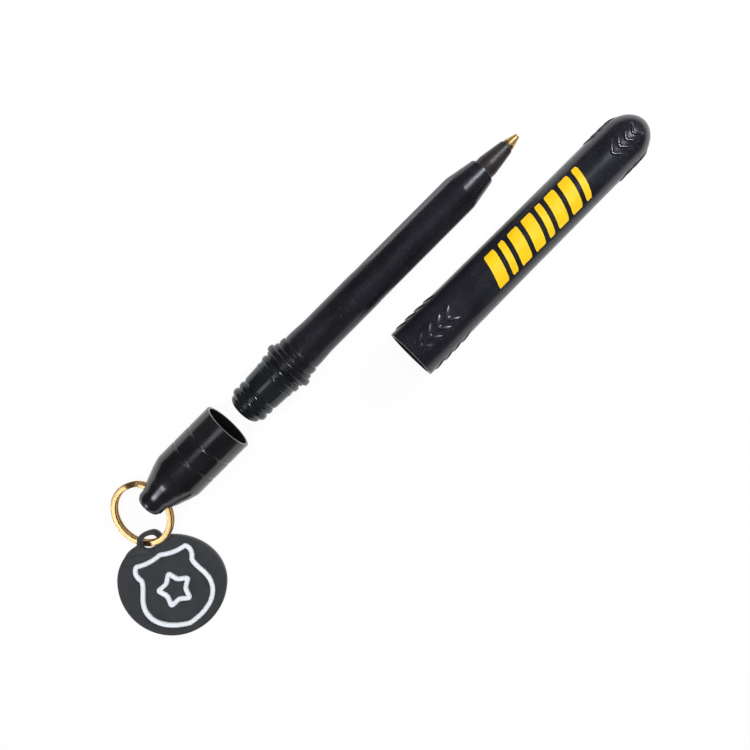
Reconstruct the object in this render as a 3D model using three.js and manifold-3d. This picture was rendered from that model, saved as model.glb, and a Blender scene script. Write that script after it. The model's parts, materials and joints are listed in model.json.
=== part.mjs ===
import * as THREE from 'three';
import { mergeVertices } from 'three/addons/utils/BufferGeometryUtils.js';
import Module from 'manifold-3d';

// A pocket pen with its cap pulled off, a slip-on tail cap, and a key ring with a soft charm.
// Millimetres. X runs along the pen towards its point, and everything lies on z = 0.

// Facets of round surfaces, from the big barrel and caps down to the writing ball
const wideFacets = 36;
const slimFacets = 20;
const edge = 0.15;

// Barrel, measured from the front face of its flange
const flangeRadius = 6.235;
const flangeWidth = 1.7;
const flangeRound = 0.6;
const collarRadius = 5.5;
const collarWidth = 0.85;
const rearCollarWidth = 0.6;
const frontGrooveDepth = 0.4;
const beadWidth = 1.5;
const frontBeadRadius = 5.275;
const frontBeadAt = 2.2;
const shoulderRadius = 4.93;
const shoulderStart = 3.6;
const shoulderLength = 1.4;
const gripRadius = 4.69;
const gripStart = 9;
const foreRadius = 4.61;
const foreStart = 25;
const barrelLength = 62.3;
const noseConeLength = 7.7;
const noseFaceRadius = 3.22;
const noseRound = 0.8;
const noseConeRadius = 3.465;
const noseBulge = 0.16;
const boreRadius = 3.1;
const noseBoreLength = 5.5;

// Three flats that the fingers hold, cut into the fore part of the barrel
const flatCount = 3;
const flatDepth = 0.2;
const flatStart = 27.2;
const flatRamp = 3.8;

// Plug that closes the rear of the barrel
const plugLength = 14.08;
const plugDomeLength = 1.98;
const plugDomeRadius = 4.125;
const plugRidgeRadius = 4.875;
const plugValleyRadius = 4.45;
const plugRidgeWidth = 1.5;
const plugRidgePitch = 2;
const plugRidgeCount = 2;
const plugBodyRear = 4.85;
const plugBodyFront = 5.05;
const plugBodyLength = 3.9;
const plugFineBeadRadius = 5.2;
const plugFineBeadWidth = 0.8;
const plugBeadRadius = 5.51;
const plugBeadAt = 1.2;
const plugGrooveRadius = 5.1;
const plugSpigotLength = 8;
const plugWall = 1.15;
const plugRecessDepth = 6.5;
const plugPlay = 0.08;
const seatGap = 0.05;

// Refill: tube, ink, translucent holder, brass point and ball
const refillPlay = 0.15;
const tubeRadius = 1.55;
const tubeBore = 1.05;
const tubeRear = -6;
const inkPlay = 0.1;
const inkRear = -1;
const holderRadius = 2.645;
const holderRear = 50;
const holderReach = 2;
const holderTaperLength = 6.2;
const holderTipRadius = 1.65;
const holderSocketDepth = 4;
const holderInkBore = 0.6;
const joinPlay = 0.08;
const pointBaseRadius = 1.475;
const pointLipRadius = 0.6;
const pointLength = 3.4;
const pointShankRadius = 1.1;
const pointShankLength = 3.8;
const pointChannel = 0.3;
const ballRadius = 0.5;
const ballPlay = 0.05;
const ballRecess = 0.2;

// Cap, lying beside the pen; its own x starts at the mouth
const capLength = 75.8;
const capMouthRadius = 6.45;
const capMouthLength = 5.8;
const capNeckRadius = 6.25;
const capNeckAt = 13;
const capMiddleRadius = 6.05;
const capMiddleAt = 35;
const capFarRadius = 5.85;
const capDomeLength = 8.5;
const capEndWall = 1.1;
const capFarWall = 0.8;
const capPlay = 0.075;
const capSocketLength = 5;
const capAside = 18.25;
const capAhead = 20.77;

// Raised chevrons in four rows round the cap, near the mouth and on the dome
const chevronRows = 4;
const chevronsPerRow = 4;
const chevronHeight = 0.25;
const mouthChevronAt = 1.4;
const mouthChevronPitch = 2.85;
const mouthChevronReach = 2.5;
const mouthChevronWidth = 1.1;
const domeChevronAt = 9.45;
const domeChevronPitch = 1.9;
const domeChevronReach = 2.3;
const domeChevronWidth = 0.75;

// Tail cap, pulled back off the plug; its own x starts at the mouth and runs to the rear
const tailRadius = 6.32;
const tailBodyLength = 15.96;
const tailShoulderRadius = 5.175;
const tailShoulderAt = 19.4;
const tailNeckAt = 21.5;
const tailNeckRadius = 4.53;
const tailNoseAt = 23.1;
const tailNoseRadius = 3.7;
const tailNoseEndRadius = 3.325;
const tailNoseEndAt = 25.64;
const tailLength = 27.06;
const tailGrooveDepth = 0.25;
const tailGrooveWidth = 0.7;
const tailGrooveAt = 6.2;
const tailGroovePitch = 4.85;
const tailGrooveCount = 2;
const tailPlay = 0.115;
const tailSocketLength = 4.5;
const tailEndPlay = 0.5;
const tailPulled = 19.03;
const eyeAt = 23.26;
const eyePlay = 0.2;

// Key ring: one length of flat wire wound twice
const ringInner = 6.75;
const wireWidth = 1.45;
const wireHeight = 0.6;
const wireRound = 0.18;
const coilGap = 0.08;
const ringHang = 6.8;
const ringDrop = 0.5;
const ringRest = 0.1;
const ringStepsPerTurn = 48;
const crossingAt = THREE.MathUtils.degToRad(60);
const crossingHalf = THREE.MathUtils.degToRad(12);

// Soft charm: a disc with a tab that hangs on the ring
const charmAlong = THREE.MathUtils.degToRad(234);
const charmRadius = 12.7;
const charmThickness = 1.5;
const charmRound = 0.4;
const charmTabRadius = 2.7;
const charmHolePlay = 0.83;
const charmHoleInset = 1.34;
const charmHoleShift = 0.3;
const charmLean = THREE.MathUtils.degToRad(250.2);
const charmClearance = 0.15;
const charmDirections = 72;
const outlineGap = 0.05;
const outlineHeight = 0.7;

// Star and shield outlines on the charm
const starRadius = 4.2;
const starWaist = 0.382;
const starLine = 0.9;
const starBelowMiddle = 1.4;
const shieldLine = 1.2;
const shieldTop = 8.3;
const shieldPeak = 8.9;
const shieldScoop = 7.6;
const shieldCorner = 6.6;
const shieldNotch = 5;
const shieldHalfWidth = 8.4;
const shieldTip = 9.15;

const wasm = await Module();
wasm.setup();

const look = (color, roughness, metalness = 0, more = {}) =>
  new THREE.MeshStandardMaterial({ color, roughness, metalness, ...more });
const satinBlack = () => look(0x2b2c33, 0.42);
const gloss = () => look(0x2c302f, 0.22);
const darkResin = () => look(0x3a3232, 0.25);
const brass = () => look(0xd2a254, 0.3, 1);
const whiteVinyl = () => look(0xdfe6ec, 0.55);

// Closed mesh geometry as a solid, with its faces pointing out
function solid(geometry) {
  geometry.deleteAttribute('normal');
  geometry.deleteAttribute('uv');
  const merged = mergeVertices(geometry, 1e-5);
  const vertProperties = merged.attributes.position.array;
  const corners = [];
  for (let i = 0; i < merged.index.count; i += 3) {
    const [a, b, c] = [0, 1, 2].map((k) => merged.index.getX(i + k));
    if (a !== b && b !== c && c !== a) corners.push(a, b, c);
  }
  const build = (triVerts) =>
    new wasm.Manifold(new wasm.Mesh({ numProp: 3, vertProperties, triVerts }));
  const body = build(new Uint32Array(corners));
  return body.volume() > 0 ? body : build(new Uint32Array(corners.reverse()));
}

function meshOf(name, body, material) {
  const { vertProperties, triVerts } = body.getMesh();
  const geometry = new THREE.BufferGeometry();
  geometry.setAttribute('position', new THREE.BufferAttribute(vertProperties, 3));
  geometry.setIndex(new THREE.BufferAttribute(triVerts, 1));
  geometry.computeVertexNormals();
  const mesh = new THREE.Mesh(geometry, material);
  mesh.name = name;
  return mesh;
}

// A body turned about X from an outline of [x, radius] pairs that starts and ends on the
// axis, or closes on itself
function turned(outline, facets = wideFacets) {
  const closed = outline[0][1] === 0 ? outline : [...outline, outline[0]];
  const points = closed.map(([x, radius]) => new THREE.Vector2(radius, x));
  return solid(new THREE.LatheGeometry(points, facets).rotateZ(-Math.PI / 2));
}

// Outline points along part of an ellipse, from one angle to another
function arc(x, radius, halfLength, halfHeight, from, to, steps, power = 2) {
  return Array.from({ length: steps + 1 }, (_, i) => {
    const angle = THREE.MathUtils.degToRad(from + ((to - from) * i) / steps);
    const bent = (value) => Math.sign(value) * Math.abs(value) ** (2 / power);
    return [x + halfLength * bent(Math.cos(angle)), radius + halfHeight * bent(Math.sin(angle))];
  });
}

const bead = (x, width, foot, top, steps = 4) =>
  arc(x, foot, width / 2, top - foot, 180, 0, steps);

// A skin over equal closed sections, either all the way round or with flat ends
function skinned(sections, closed) {
  const sides = sections[0].length;
  const runs = closed ? sections.length : sections.length - 1;
  const index = [];
  for (let i = 0; i < runs; i++) {
    const next = (i + 1) % sections.length;
    for (let j = 0; j < sides; j++) {
      const [a, b] = [i * sides + j, i * sides + ((j + 1) % sides)];
      const [c, d] = [next * sides + j, next * sides + ((j + 1) % sides)];
      index.push(a, b, d, a, d, c);
    }
  }
  const last = (sections.length - 1) * sides;
  for (let j = 1; !closed && j < sides - 1; j++) {
    index.push(0, j + 1, j, last, last + j, last + j + 1);
  }
  const geometry = new THREE.BufferGeometry().setFromPoints(sections.flat());
  geometry.setIndex(index);
  return solid(geometry);
}

const moved = (body, x, y, z) => body.translate([x, y, z]);

// Outline of the barrel's nose: a slight bulge into a cone, then a small round at the face
const noseStart = barrelLength - noseConeLength;
const holderBore = holderRadius + refillPlay;

function noseOutline() {
  const coneEnd = barrelLength - noseRound;
  return [
    [noseStart, foreRadius],
    [noseStart + 0.7, foreRadius - noseBulge / 4],
    [noseStart + 1.4, foreRadius - noseBulge],
    [coneEnd, noseConeRadius],
    [coneEnd + noseRound * 0.6, (noseConeRadius + noseFaceRadius) / 2 + 0.03],
    [barrelLength, noseFaceRadius],
  ];
}

// One cutter for a grip flat: level along the barrel, rising on a curve at its rear end
function flatCutter() {
  const level = foreRadius - flatDepth;
  const above = foreRadius + 0.6;
  const rampLength = flatRamp * Math.sqrt((above - level) / flatDepth);
  const levelStart = flatStart + flatRamp;
  const shape = new THREE.Shape();
  shape.moveTo(levelStart - rampLength, above);
  shape.quadraticCurveTo(levelStart - rampLength / 2, level, levelStart, level);
  shape.lineTo(barrelLength, level);
  shape.lineTo(barrelLength, above);
  const width = 2 * foreRadius;
  const block = new THREE.ExtrudeGeometry(shape, {
    depth: width, bevelEnabled: false, curveSegments: 8,
  });
  return solid(block.rotateX(Math.PI / 2).translate(0, width / 2, 0));
}

function barrel() {
  const rear = -flangeWidth - rearCollarWidth;
  const grooveRadius = collarRadius - frontGrooveDepth;
  const beadStart = frontBeadAt - beadWidth / 2;
  const round = (x, from, to) => arc(x, flangeRadius - flangeRound, flangeRound, flangeRound, from, to, 3);
  const outline = [
    [rear, boreRadius],
    [rear, collarRadius - edge],
    [rear + edge, collarRadius],
    [-flangeWidth, collarRadius],
    ...round(-flangeWidth + flangeRound, 180, 90),
    ...round(-flangeRound, 90, 0),
    [0, collarRadius],
    [collarWidth - edge, collarRadius],
    [collarWidth, collarRadius - edge],
    [(collarWidth + beadStart) / 2, grooveRadius],
    ...bead(frontBeadAt, beadWidth, grooveRadius, frontBeadRadius),
    [frontBeadAt + beadWidth / 2 + 0.2, shoulderRadius - edge],
    [shoulderStart, shoulderRadius],
    [shoulderStart + shoulderLength, shoulderRadius],
    [gripStart, gripRadius],
    [foreStart - 1, gripRadius],
    [foreStart, foreRadius],
    ...noseOutline(),
    [barrelLength, holderBore],
    [barrelLength - noseBoreLength, holderBore],
    [barrelLength - noseBoreLength, boreRadius],
  ];
  let body = turned(outline);
  const cutter = flatCutter();
  for (let i = 0; i < flatCount; i++) {
    body = body.subtract(cutter.rotate([60 + (360 / flatCount) * i, 0, 0]));
  }
  return body;
}

// The plug butts on the barrel's rear collar, and its hollow spigot reaches into the bore
const plugFront = -flangeWidth - rearCollarWidth - seatGap;
const plugRear = plugFront - plugLength;

function rearPlug() {
  const firstRidge = plugRear + plugDomeLength + plugRidgeWidth / 2 + 0.25;
  const ridges = Array.from({ length: plugRidgeCount }, (_, i) =>
    bead(firstRidge + i * plugRidgePitch, plugRidgeWidth, plugValleyRadius, plugRidgeRadius)).flat();
  const bodyRear = firstRidge + (plugRidgeCount - 0.5) * plugRidgePitch + 0.6;
  const bodyFront = bodyRear + plugBodyLength;
  const spigotRadius = boreRadius - plugPlay;
  const recessRadius = spigotRadius - plugWall;
  return turned([
    ...arc(plugRear + plugDomeLength, 0, plugDomeLength, plugDomeRadius, 180, 90, 6, 2.6)
      .map(([x, radius], i) => [x, i === 0 ? 0 : radius]),
    ...ridges,
    [bodyRear, plugBodyRear],
    [bodyFront, plugBodyFront],
    ...bead(bodyFront + plugFineBeadWidth / 2, plugFineBeadWidth, plugBodyFront, plugFineBeadRadius, 3),
    [plugFront - plugBeadAt - beadWidth / 2 - 0.2, plugGrooveRadius],
    ...bead(plugFront - plugBeadAt, beadWidth, plugGrooveRadius, plugBeadRadius),
    [plugFront, plugGrooveRadius],
    [plugFront, spigotRadius],
    [plugFront + plugSpigotLength - edge, spigotRadius],
    [plugFront + plugSpigotLength, spigotRadius - edge],
    [plugFront + plugSpigotLength, recessRadius],
    [plugFront - plugRecessDepth, recessRadius],
    [plugFront - plugRecessDepth, 0],
  ]);
}

const holderFront = barrelLength + holderReach + holderTaperLength;
const pointTip = holderFront + pointLength + ballRadius - ballRecess;

function refillTube() {
  const front = holderRear + holderSocketDepth - joinPlay;
  return turned([[tubeRear, tubeBore], [tubeRear, tubeRadius], [front, tubeRadius],
    [front, tubeBore]], slimFacets);
}

function inkColumn() {
  const radius = tubeBore - inkPlay;
  const front = holderRear + holderSocketDepth - 2 * joinPlay;
  return turned([[inkRear, 0], [inkRear, radius], [front, radius], [front, 0]], slimFacets);
}

function refillHolder() {
  const socketEnd = holderRear + holderSocketDepth;
  const tubeSocket = tubeRadius + joinPlay;
  const shankSocket = pointShankRadius + joinPlay;
  const shankEnd = holderFront - pointShankLength - joinPlay;
  return turned([
    [holderRear, tubeSocket],
    [holderRear, holderRadius],
    [holderFront - holderTaperLength, holderRadius],
    [holderFront - edge, holderTipRadius + edge / 2],
    [holderFront, holderTipRadius - edge],
    [holderFront, shankSocket],
    [shankEnd, shankSocket],
    [shankEnd, holderInkBore],
    [socketEnd, holderInkBore],
    [socketEnd, tubeSocket],
  ], wideFacets);
}

function pointSocket() {
  const base = holderFront + seatGap;
  const tip = holderFront + pointLength;
  const cup = ballRadius + ballPlay;
  const degrees = THREE.MathUtils.radToDeg;
  const lip = degrees(Math.acos(ballRecess / cup));
  const floor = 180 - degrees(Math.asin(pointChannel / cup));
  return turned([
    [base - pointShankLength, pointChannel],
    [base - pointShankLength, pointShankRadius],
    [base, pointShankRadius],
    [base, pointBaseRadius - edge],
    [base + edge, pointBaseRadius],
    [tip, pointLipRadius],
    ...arc(tip - ballRecess, 0, cup, cup, lip, floor, 5),
  ], slimFacets);
}

function writingBall() {
  return solid(new THREE.SphereGeometry(ballRadius, 16, 10).rotateZ(-Math.PI / 2));
}

// The cap's mouth seats on the flange, and its bores clear the collar, the bead and the point
const capStraight = capLength - capDomeLength;

const capOutside = (rise) => [
  [0, 0],
  [0, capMouthRadius - edge + rise],
  [edge, capMouthRadius + rise],
  [capMouthLength, capMouthRadius + rise],
  [capNeckAt, capNeckRadius + rise],
  [capMiddleAt, capMiddleRadius + rise],
  ...arc(capStraight, 0, capDomeLength + rise, capFarRadius + rise, 90, 0, 9)
    .map(([x, radius], i) => [x, i === 9 ? 0 : radius]),
];

function capInside() {
  const socket = collarRadius + capPlay;
  const bore = capFarRadius - capFarWall;
  return turned([
    [-1, 0],
    [-1, socket],
    [capSocketLength, socket],
    [capSocketLength + (socket - bore), bore],
    ...arc(capStraight, 0, capDomeLength - capEndWall, bore, 90, 0, 6)
      .map(([x, radius], i) => [x, i === 6 ? 0 : radius]),
  ]);
}

// One row of V prisms on the cap's upper side, each pointing to the mouth
function chevronRow(first, pitch, reach, width) {
  const along = width * Math.SQRT2;
  const prisms = Array.from({ length: chevronsPerRow }, (_, i) => {
    const apex = first + i * pitch;
    const shape = new THREE.Shape([
      new THREE.Vector2(apex, 0),
      new THREE.Vector2(apex + reach, -reach),
      new THREE.Vector2(apex + reach + along, -reach),
      new THREE.Vector2(apex + along, 0),
      new THREE.Vector2(apex + reach + along, reach),
      new THREE.Vector2(apex + reach, reach),
    ]);
    const height = capMouthRadius + 1;
    const prism = new THREE.ExtrudeGeometry(shape, { depth: height, bevelEnabled: false });
    return solid(prism.translate(0, 0, capFarRadius / 3));
  });
  return prisms.reduce((row, prism) => row.add(prism));
}

function capShell() {
  const row = chevronRow(mouthChevronAt, mouthChevronPitch, mouthChevronReach, mouthChevronWidth)
    .add(chevronRow(capLength - domeChevronAt, domeChevronPitch, domeChevronReach, domeChevronWidth));
  const raised = turned(capOutside(chevronHeight));
  let body = turned(capOutside(0));
  for (let i = 0; i < chevronRows; i++) {
    body = body.add(row.rotate([(360 / chevronRows) * i, 0, 0]).intersect(raised));
  }
  return body.subtract(capInside());
}

// Outer corner of the wound wire, seen from the eye's centre, sets the eye's radius
const ringOuter = ringInner + wireWidth;
const coilHeight = 2 * wireHeight + coilGap;
const eyeRadius = Math.hypot(ringOuter - ringHang, ringDrop + coilHeight / 2) + eyePlay;

function tailCap() {
  const groove = (x) => [
    [x - tailGrooveWidth / 2, tailRadius],
    [x, tailRadius - tailGrooveDepth],
    [x + tailGrooveWidth / 2, tailRadius],
  ];
  const grooves = Array.from({ length: tailGrooveCount }, (_, i) =>
    groove(tailGrooveAt + i * tailGroovePitch)).flat();
  const socket = Math.max(collarRadius, plugBeadRadius) + tailPlay;
  const bore = plugBodyFront + tailPlay;
  const depth = -flangeWidth - plugRear + tailEndPlay;
  const shell = turned([
    [0, socket],
    [0, tailRadius - edge],
    [edge, tailRadius],
    ...grooves,
    [tailBodyLength, tailRadius],
    [tailBodyLength + 1.1, tailRadius - 0.3],
    [tailShoulderAt - 1.1, tailShoulderRadius + 0.6],
    [tailShoulderAt, tailShoulderRadius],
    [tailNeckAt, tailNeckRadius],
    [tailNoseAt, tailNoseRadius],
    [tailNoseEndAt, tailNoseEndRadius],
    ...arc(tailNoseEndAt, 0, tailLength - tailNoseEndAt, tailNoseEndRadius, 75, 0, 4)
      .map(([x, radius], i) => [x, i === 4 ? 0 : radius]),
    [depth, 0],
    [depth, bore],
    [tailSocketLength + (socket - bore), bore],
    [tailSocketLength, socket],
  ].map(([x, radius]) => [-x, radius]));
  const eye = new THREE.CylinderGeometry(eyeRadius, eyeRadius, 4 * tailNoseRadius, slimFacets);
  return shell.subtract(solid(eye.translate(-eyeAt, 0, 0)));
}

// The wire's path rises by one wire height where its second turn crosses its first
function keyRing() {
  const middle = ringInner + wireWidth / 2;
  const rise = wireHeight + coilGap;
  const corner = (x, z, from) => arc(x, z, wireRound, wireRound, from, from + 90, 1);
  const [halfWidth, halfHeight] = [wireWidth / 2 - wireRound, wireHeight / 2 - wireRound];
  const section = [
    ...corner(halfWidth, halfHeight, 0),
    ...corner(-halfWidth, halfHeight, 90),
    ...corner(-halfWidth, -halfHeight, 180),
    ...corner(halfWidth, -halfHeight, 270),
  ];
  const turns = 2 * (2 * Math.PI - crossingHalf);
  const steps = Math.round((ringStepsPerTurn * turns) / (2 * Math.PI));
  const sections = Array.from({ length: steps + 1 }, (_, i) => {
    const swept = (turns * i) / steps + crossingHalf;
    const angle = crossingAt + swept;
    const crossed = THREE.MathUtils.smoothstep(swept, 2 * Math.PI - crossingHalf, 2 * Math.PI + crossingHalf);
    const z = (crossed - 0.5) * rise;
    return section.map(([across, up]) => new THREE.Vector3(
      (middle + across) * Math.cos(angle), (middle + across) * Math.sin(angle), z + up));
  });
  return skinned(sections, false);
}

// The ring leans from the eye down to the surface that everything lies on
function ringTilt() {
  const far = ringHang + ringOuter;
  const drop = ringDrop + coilHeight / 2;
  const height = tailRadius - ringRest;
  return Math.asin(height / Math.hypot(far, drop)) - Math.atan2(drop, far);
}

const tilt = ringTilt();
const ringMiddle = ringInner + wireWidth / 2;

// Places in the ring's own plane, seen from its centre, as places in the tail cap's frame
function ringPlace(radius, angle, up = 0) {
  const along = radius * Math.cos(angle) - ringHang;
  const lift = up - ringDrop;
  return new THREE.Vector3(
    -eyeAt + along * Math.cos(tilt) - lift * Math.sin(tilt),
    radius * Math.sin(angle),
    along * Math.sin(tilt) + lift * Math.cos(tilt),
  );
}

// The charm's frame: its hole is the origin, the wire passes along the direction "wire"
const holeRadius = wireWidth / 2 + charmHolePlay;
const wireCentre = ringPlace(ringMiddle, charmAlong);
const holeCentre = ringPlace(ringMiddle - charmHoleShift, charmAlong);
const wireAhead = ringPlace(ringMiddle, charmAlong + 0.01).sub(wireCentre).normalize();
const wirePlan = new THREE.Vector2(wireAhead.x, wireAhead.y).normalize();
const wireSlope = wireAhead.z / Math.hypot(wireAhead.x, wireAhead.y);
const acrossPlan = new THREE.Vector2(wirePlan.y, -wirePlan.x);
const discPlan = new THREE.Vector2(Math.cos(charmLean), Math.sin(charmLean));
const discAway = charmRadius - charmHoleInset;

// The soft tab rides over the wire on one side of its hole and lies flat on the other
const wireTop = tailRadius + wireCentre.z + coilHeight / 2;
const charmLift = wireTop - holeRadius * wireSlope + charmClearance;

function lifted(x, y) {
  const before = -(x * wirePlan.x + y * wirePlan.y);
  const across = x * acrossPlan.x + y * acrossPlan.y;
  const over = THREE.MathUtils.smoothstep(before, -holeRadius * 0.8, holeRadius * 0.8);
  const faded = 1 - THREE.MathUtils.smoothstep(before, 3 * holeRadius, 6 * holeRadius);
  const inward = 1 - THREE.MathUtils.smoothstep(across, 0.7 * holeRadius, 2.2 * holeRadius);
  return charmLift * over * faded * inward;
}

// Distance from the hole's centre to the rim of the disc and tab together
function charmReach(angle) {
  const turn = angle - charmLean;
  const disc = discAway * Math.cos(turn)
    + Math.sqrt(charmRadius ** 2 - (discAway * Math.sin(turn)) ** 2);
  const blend = 0.25;
  const difference = THREE.MathUtils.clamp(0.5 + (disc - charmTabRadius) / (2 * blend), 0, 1);
  return THREE.MathUtils.lerp(charmTabRadius, disc, difference)
    + blend * difference * (1 - difference);
}

// Radial sections round the hole, closer together towards the far rim of the disc
function charmDisc() {
  const nearRings = [0.8, 1.8, 3, 4.5, 7];
  const widest = nearRings.at(-1) + 1;
  const sections = Array.from({ length: charmDirections }, (_, i) => {
    const even = (2 * Math.PI * i) / charmDirections;
    const angle = charmLean + even - 0.5 * Math.sin(even);
    const reach = charmReach(angle) - charmRound;
    const squeeze = Math.min(1, (reach - holeRadius) / widest);
    const run = [...nearRings.map((ring) => holeRadius + ring * squeeze), reach];
    const low = [holeRadius, ...run].map((radius) => [radius, 0]);
    const rim = [[reach + charmRound, charmRound], [reach + charmRound, charmThickness - charmRound]];
    const high = [...run].reverse().concat(holeRadius).map((radius) => [radius, charmThickness]);
    return [...low, ...rim, ...high].map(([radius, z]) => {
      const [x, y] = [radius * Math.cos(angle), radius * Math.sin(angle)];
      return new THREE.Vector3(x, y, z + lifted(x, y));
    });
  });
  return skinned(sections, true);
}

// A raised line of one width along a closed path on the charm's face
function faceLine(path, width) {
  const up = outlineGap + charmThickness;
  const count = path.length;
  const sections = path.map((point, i) => {
    const before = point.clone().sub(path[(i + count - 1) % count]).normalize();
    const after = path[(i + 1) % count].clone().sub(point).normalize();
    const normal = new THREE.Vector2(before.y + after.y, -before.x - after.x).normalize();
    const mitre = width / 2 / Math.max(0.3, normal.x * after.y - normal.y * after.x);
    const side = (sign) => point.clone().addScaledVector(normal, sign * mitre);
    return [[1, 0], [1, outlineHeight], [-1, outlineHeight], [-1, 0]].map(([sign, z]) => {
      const { x, y } = side(sign);
      return new THREE.Vector3(x, y, z + up + lifted(x, y));
    });
  });
  return skinned(sections, true);
}

// Paths on the charm's face are drawn upright about the star's centre, then turned to the tab
const upright = charmLean + Math.PI / 2;
const onFace = (x, y) => new THREE.Vector2(x, y)
  .rotateAround(new THREE.Vector2(), upright)
  .addScaledVector(discPlan, discAway + starBelowMiddle);

function charmStar() {
  const path = Array.from({ length: 10 }, (_, i) => {
    const angle = Math.PI / 2 + (Math.PI * i) / 5;
    const radius = (starRadius - starLine / 2) * (i % 2 ? starWaist + 0.06 : 1);
    return onFace(radius * Math.cos(angle), radius * Math.sin(angle));
  });
  return faceLine(path, starLine);
}

// Right half of the shield from its top peak down to its tip, mirrored for the left half
function charmShield() {
  const half = new THREE.Path();
  half.moveTo(0, shieldPeak);
  half.quadraticCurveTo(shieldCorner * 0.5, shieldScoop - 0.8, shieldCorner, shieldTop);
  half.quadraticCurveTo(shieldCorner * 0.86, shieldNotch + 1.4, shieldCorner * 1.03, shieldNotch);
  half.bezierCurveTo(shieldHalfWidth * 1.22, 0, shieldHalfWidth * 0.92, -shieldTip * 0.62, 0, -shieldTip);
  const right = half.getPoints(7);
  const left = right.slice(1, -1).reverse().map((point) => new THREE.Vector2(-point.x, point.y));
  return faceLine([...right, ...left].map((point) => onFace(point.x, point.y)), shieldLine);
}

const pen = new THREE.Group();
pen.position.z = tailRadius;
const refill = new THREE.Group();
refill.add(
  meshOf('refill_tube', refillTube(), look(0xd8d4cc, 0.4)),
  meshOf('ink_column', inkColumn(), look(0x14141c, 0.3)),
  meshOf('refill_holder', refillHolder(), darkResin()),
  meshOf('point_socket', pointSocket(), brass()),
);
const ball = meshOf('writing_ball', writingBall(), look(0xb8bcc2, 0.15, 1));
ball.position.x = pointTip - ballRadius;
refill.add(ball);
pen.add(
  meshOf('barrel', barrel(), satinBlack()),
  meshOf('rear_plug', rearPlug(), gloss()),
  refill,
);

const cap = new THREE.Group();
cap.position.set(capAhead, -capAside, capMouthRadius + chevronHeight);
cap.add(meshOf('cap_shell', capShell(), satinBlack()));

const tail = new THREE.Group();
tail.position.set(-flangeWidth - tailPulled, 0, tailRadius);
tail.add(meshOf('tail_cap', tailCap(), satinBlack()));

const keyRingMesh = meshOf('key_ring', keyRing(), look(0xd9a95c, 0.22, 1));
keyRingMesh.rotation.y = -tilt;
keyRingMesh.position.copy(ringPlace(0, 0));
tail.add(keyRingMesh);

const charm = new THREE.Group();
charm.position.set(holeCentre.x, holeCentre.y, -tailRadius);
charm.add(
  meshOf('charm_disc', charmDisc(), look(0x3c3d3f, 0.6)),
  meshOf('charm_shield', charmShield(), whiteVinyl()),
  meshOf('charm_star', charmStar(), whiteVinyl()),
);
tail.add(charm);

const pocketPen = new THREE.Group();
pocketPen.add(pen, cap, tail);

// The origin is the middle of the box that holds everything, on the surface below it
pocketPen.updateMatrixWorld(true);
const box = new THREE.Box3().setFromObject(pocketPen, true);
const middle = box.getCenter(new THREE.Vector3());
pocketPen.position.set(-middle.x, -middle.y, -box.min.z);
pocketPen.updateMatrixWorld(true);

export default pocketPen;
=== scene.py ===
import json
import math

import bmesh
import bpy
from mathutils import Matrix, Vector


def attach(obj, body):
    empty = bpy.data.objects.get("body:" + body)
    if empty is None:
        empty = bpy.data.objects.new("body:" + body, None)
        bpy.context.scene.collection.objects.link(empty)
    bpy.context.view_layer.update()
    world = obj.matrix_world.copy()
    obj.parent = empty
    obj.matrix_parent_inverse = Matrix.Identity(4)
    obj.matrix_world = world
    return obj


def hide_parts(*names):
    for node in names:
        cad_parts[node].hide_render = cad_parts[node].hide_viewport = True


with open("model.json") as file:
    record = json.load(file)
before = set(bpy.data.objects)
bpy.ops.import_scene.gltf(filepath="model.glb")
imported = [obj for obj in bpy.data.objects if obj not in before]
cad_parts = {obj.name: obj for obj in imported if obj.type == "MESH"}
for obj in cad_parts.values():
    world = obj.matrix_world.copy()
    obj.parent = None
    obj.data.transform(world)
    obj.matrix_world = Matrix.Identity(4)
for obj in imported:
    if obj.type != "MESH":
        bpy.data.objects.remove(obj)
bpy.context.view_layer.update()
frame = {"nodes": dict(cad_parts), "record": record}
nodes = frame["nodes"]
mm = 0.001
print("frame loaded:", sorted(nodes))


# The camera and the lights, in millimetres, degrees and watts
shot = {
    "target": (-1.33, -5.23, 6.35),
    "distance": 148.0,
    "turn": -45.1,
    "lens": 30.75,
    "sensor": 36,
    "clip": (10, 10000),
}
studio = {
    "zenith": 0.2,
    "zenithFrom": 0.9,
    "horizon": 0.36,
    "endWalls": 0.55,
    "endWallsSpan": (0.6, 0.95),
    "floorHalf": 1500,
    "floorSunk": 0.2,
    "floorWhite": (0.955, 0.955, 0.955, 1),
    "floorRoughness": 0.9,
    "floorSpecular": 0.1,
    "floorShown": 0.93,
    "floorGlossy": 0.37,
    "tentAbove": 600,
    "tentSize": (450, 450),
    "tentPower": 3.1,
    "boxTint": (0.9, 0.93, 1.0),
    "boxes": {
        "softbox": {"at": (-62, 28, 195), "size": (58, 58), "power": 0.02},
        "tailBox": {"at": (-330, 36, 130), "size": (90, 60), "power": 0.13, "aim": (-56, 10, 8)},
        "domeBox": {"at": (277, -13, 234), "size": (56, 56), "power": 0.58, "aim": (76, -8, 12)},
    },
}


def setInput(node, name, value):
    node.inputs[name].default_value = value


def smoothRange(tree, value, low, high, toLow, toHigh):
    node = tree.nodes.new("ShaderNodeMapRange")
    node.interpolation_type = "SMOOTHSTEP"
    setInput(node, "From Min", low)
    setInput(node, "From Max", high)
    setInput(node, "To Min", toLow)
    setInput(node, "To Max", toHigh)
    tree.links.new(value, node.inputs["Value"])
    return node.outputs["Result"]


# Two tones of one colour
def tones(colour, spread, lift=0.0):
    dark = tuple(channel * (1 - spread) for channel in colour) + (1,)
    pale = tuple(channel * (1 + spread) + lift for channel in colour) + (1,)
    return dark, pale


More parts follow.
